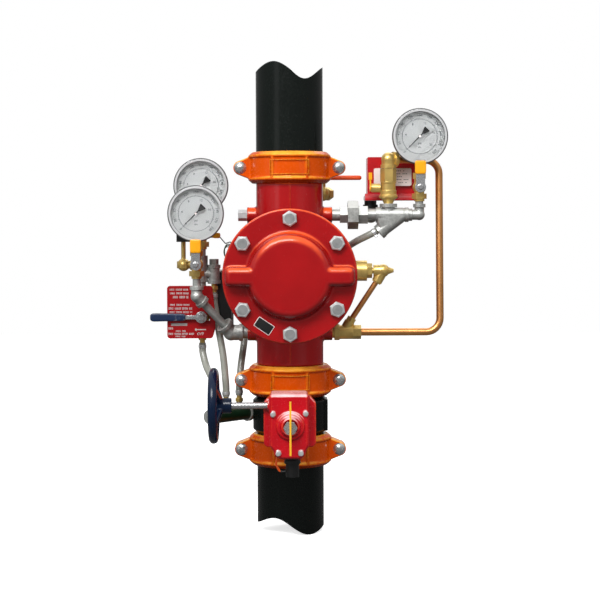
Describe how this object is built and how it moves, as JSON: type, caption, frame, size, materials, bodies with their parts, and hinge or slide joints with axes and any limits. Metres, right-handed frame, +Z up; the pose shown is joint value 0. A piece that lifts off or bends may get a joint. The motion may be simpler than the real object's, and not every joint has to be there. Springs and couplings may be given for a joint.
{
  "type": "deluge valve",
  "caption": "Fire deluge valve riser: flanged clapper valve over a gear operated butterfly valve in grooved pipe, with gauges, alarm line, manual station and drain hoses.",
  "frame": {"origin": "on the riser's axis, at the pipe clamp's seat on the inlet pipe, 82 mm below the lowest coupling's middle", "axes": "+Z up the riser with the water's flow, +X toward the alarm line, -Y toward the valve's cover"},
  "size_m": [0.5106, 0.318, 0.7992],
  "materials": {
    "black_enamel": "satin black enamel",
    "orange_enamel": "gloss orange enamel over cast metal",
    "red_enamel": "gloss red enamel over cast metal",
    "gearbox_red": "gloss crimson enamel",
    "switch_red": "gloss red powder coat",
    "plate_red": "printed red sheet metal",
    "rubber": "moulded rubber",
    "zinc": "zinc plated",
    "steel": "turned steel",
    "bronze": "machined bronze",
    "brass": "machined brass",
    "copper": "drawn copper tube",
    "nickel_iron": "plated cast iron",
    "galvanised": "galvanised malleable iron",
    "gauge_steel": "polished steel case",
    "dial_white": "white dial",
    "gauge_glass": "clear lens",
    "pointer_black": "black pointer",
    "blue_enamel": "dark blue coating",
    "yellow_enamel": "yellow enamel",
    "yellow_plastic": "amber dipped vinyl",
    "black_plastic": "black moulding",
    "hose": "soft grey tubing"
  },
  "bodies": {
    "riser": {"lower_pipe": "black_enamel", "upper_pipe": "black_enamel", "coupling_front_halves": "orange_enamel", "coupling_rear_halves": "orange_enamel", "coupling_gaskets": "rubber", "coupling_bolts": "zinc", "valve_body": "red_enamel", "valve_seat": "bronze", "valve_cover": "red_enamel", "cover_gasket": "rubber", "cover_bolts": "zinc", "pivot_pins": "steel", "pushrod_chamber": "brass", "port_plug": "zinc", "butterfly_body": "black_enamel", "gear_housing": "gearbox_red", "gear_cover": "gearbox_red", "switch_conduit": "black_plastic", "gauge_cases": "gauge_steel", "gauge_dials": "dial_white", "gauge_lenses": "gauge_glass", "gauge_valves": "brass", "supply_gauge_pipe": "galvanised", "release_pipe": "galvanised", "solenoid_valve": "brass", "station_valve": "galvanised", "station_plate": "plate_red", "alarm_union": "galvanised", "strainer_body": "galvanised", "alarm_check_valve": "brass", "pressure_switch_base": "black_plastic", "pressure_switch_cover": "switch_red", "copper_loop": "copper", "copper_link": "copper", "priming_fittings": "brass", "hose_barbs": "brass", "station_drain_hose": "hose", "release_drain_hose": "hose", "alarm_drain_hose": "hose", "drain_line": "black_enamel", "sign_plate": "black_plastic", "system_valve": "brass"},
    "clapper_body": {"clapper": "bronze", "clapper_seal": "rubber"},
    "latch_body": {"latch_lever": "bronze"},
    "pushrod_body": {"pushrod": "brass"},
    "disc_body": {"butterfly_disc": "nickel_iron", "disc_stem": "steel", "position_flag": "yellow_enamel"},
    "handwheel_body": {"worm_shaft": "steel", "handwheel": "blue_enamel"},
    "supply_pointer_body": {"supply_pointer": "pointer_black"},
    "release_pointer_body": {"release_pointer": "pointer_black"},
    "alarm_pointer_body": {"alarm_pointer": "pointer_black"},
    "supply_handle_body": {"supply_gauge_handle": "yellow_plastic"},
    "release_handle_body": {"release_gauge_handle": "brass"},
    "alarm_handle_body": {"alarm_gauge_handle": "yellow_plastic"},
    "station_lever_body": {"station_lever": "blue_enamel"},
    "test_cock_body": {"test_cock_lever": "yellow_plastic"},
    "system_lever_body": {"system_lever": "orange_enamel"}
  },
  "joints": [
    {"name": "clapper_swing", "type": "hinge", "parent": "riser", "child": "clapper_body", "pos_m": [-0.06, 0, 0.3362], "axis": [0, -1, 0], "range_deg": [0, 76]},
    {"name": "latch_turn", "type": "hinge", "parent": "riser", "child": "latch_body", "pos_m": [0.062, 0, 0.3262], "axis": [0, -1, 0], "range_deg": [0, 25]},
    {"name": "pushrod_slide", "type": "slide", "parent": "riser", "child": "pushrod_body", "axis": [-1, 0, 0], "range_m": [0, 0.0249]},
    {"name": "disc_turn", "type": "hinge", "parent": "riser", "child": "disc_body", "pos_m": [0, 0, 0.1416], "axis": [0, 1, 0], "range_deg": [0, 90]},
    {"name": "handwheel_turn", "type": "hinge", "parent": "riser", "child": "handwheel_body", "pos_m": [0, -0.136, 0.1721], "axis": [-1, 0, 0], "range_deg": [0, 2160]},
    {"name": "supply_pointer_turn", "type": "hinge", "parent": "riser", "child": "supply_pointer_body", "pos_m": [-0.158, -0.03, 0.4857], "axis": [0, 1, 0], "range_deg": [0, 270]},
    {"name": "release_pointer_turn", "type": "hinge", "parent": "riser", "child": "release_pointer_body", "pos_m": [-0.153, 0.042, 0.5342], "axis": [0, 1, 0], "range_deg": [0, 270]},
    {"name": "alarm_pointer_turn", "type": "hinge", "parent": "riser", "child": "alarm_pointer_body", "pos_m": [0.222, 0, 0.6157], "axis": [0, 1, 0], "range_deg": [0, 270]},
    {"name": "supply_handle_turn", "type": "hinge", "parent": "riser", "child": "supply_handle_body", "pos_m": [-0.158, -0.04, 0.3997], "axis": [0, -1, 0], "range_deg": [0, 90]},
    {"name": "release_handle_turn", "type": "hinge", "parent": "riser", "child": "release_handle_body", "pos_m": [-0.153, 0.032, 0.4482], "axis": [0, -1, 0], "range_deg": [0, 90]},
    {"name": "alarm_handle_turn", "type": "hinge", "parent": "riser", "child": "alarm_handle_body", "pos_m": [0.222, -0.01, 0.5297], "axis": [0, 1, 0], "range_deg": [0, 90]},
    {"name": "station_lever_turn", "type": "hinge", "parent": "riser", "child": "station_lever_body", "pos_m": [-0.153, 0.014, 0.3077], "axis": [0, 1, 0], "range_deg": [0, 90]},
    {"name": "test_cock_turn", "type": "hinge", "parent": "riser", "child": "test_cock_body", "pos_m": [0.14, 0, 0.5287], "axis": [1, 0, 0], "range_deg": [0, 90]},
    {"name": "system_lever_turn", "type": "hinge", "parent": "riser", "child": "system_lever_body", "pos_m": [0.05731, 0.06829, 0.5202], "axis": [0, 0, 1], "range_deg": [0, 90]}
  ],
  "couplings": [
    {"joint": "pushrod_slide", "follows": "latch_turn", "m_per_rad": 0.057},
    {"joint": "handwheel_turn", "follows": "disc_turn", "ratio": 24}
  ]
}
